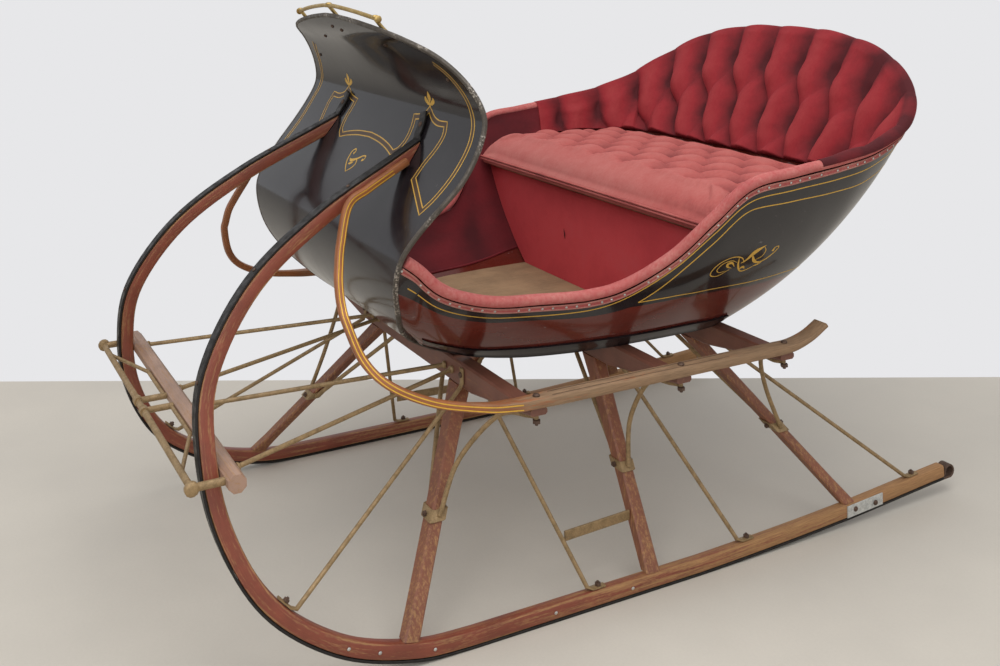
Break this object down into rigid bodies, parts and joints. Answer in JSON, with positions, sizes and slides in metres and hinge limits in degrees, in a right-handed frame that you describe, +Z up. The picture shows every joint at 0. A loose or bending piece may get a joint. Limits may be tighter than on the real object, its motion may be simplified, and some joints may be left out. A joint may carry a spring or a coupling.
{
  "type": "horse drawn sleigh",
  "caption": "Light two-seat horse drawn sleigh: flared tub with tufted seat, swan-necked dash and two bent wooden runners on braced knees.",
  "frame": {"origin": "middle of the footprint, on the floor under the runners", "axes": "-Y forward, towards the horse; +X the driver's left; +Z up"},
  "size_m": [1.18, 1.8114, 1.1862],
  "materials": {
    "runner_wood": "worn reddish brown paint on bent wood",
    "bench_wood": "worn dark reddish brown paint",
    "shoe_steel": "dark worn steel",
    "brown_iron": "dull bronze brown paint on wrought iron",
    "fender_paint": "copper brown gloss paint, worn",
    "black_lacquer": "black gloss carriage lacquer",
    "maroon_lacquer": "dark maroon gloss carriage lacquer",
    "crimson_velvet": "crimson velvet",
    "worn_velvet": "faded crimson velvet",
    "floor_boards": "bare worn boards",
    "brass": "tarnished brass",
    "zinc_plate": "pale grey mending plate"
  },
  "bodies": {
    "root": {"runner_left": "runner_wood", "shoe_left": "shoe_steel", "fender_left": "fender_paint", "step_bar_left": "brown_iron", "back_stay_left": "brown_iron", "side_panel_left": "maroon_lacquer", "sill_left": "black_lacquer", "lining_left": "crimson_velvet", "knee_front_left": "runner_wood", "knee_iron_front_left": "brown_iron", "knee_middle_left": "runner_wood", "knee_iron_middle_left": "brown_iron", "knee_rear_left": "runner_wood", "knee_iron_rear_left": "brown_iron", "stay_1_left": "brown_iron", "stay_2_left": "brown_iron", "stay_3_left": "brown_iron", "stay_4_left": "brown_iron", "bar_rod_outer_left": "brown_iron", "bar_rod_inner_left": "brown_iron", "runner_right": "runner_wood", "shoe_right": "shoe_steel", "fender_right": "fender_paint", "step_bar_right": "brown_iron", "back_stay_right": "brown_iron", "side_panel_right": "maroon_lacquer", "sill_right": "black_lacquer", "lining_right": "crimson_velvet", "knee_front_right": "runner_wood", "knee_iron_front_right": "brown_iron", "knee_middle_right": "runner_wood", "knee_iron_middle_right": "brown_iron", "knee_rear_right": "runner_wood", "knee_iron_rear_right": "brown_iron", "stay_1_right": "brown_iron", "stay_2_right": "brown_iron", "stay_3_right": "brown_iron", "stay_4_right": "brown_iron", "bar_rod_outer_right": "brown_iron", "bar_rod_inner_right": "brown_iron", "bench_front": "bench_wood", "bench_middle": "bench_wood", "bench_rear": "bench_wood", "cross_bar": "bench_wood", "shift_iron": "brown_iron", "mend_plate": "zinc_plate", "floor": "floor_boards", "seat_board": "floor_boards", "seat_riser": "crimson_velvet", "seat_cushion": "worn_velvet", "seat_back": "crimson_velvet", "binding": "crimson_velvet", "back_panel": "black_lacquer", "dash": "black_lacquer", "dash_rail": "brass"}
  },
  "joints": []
}
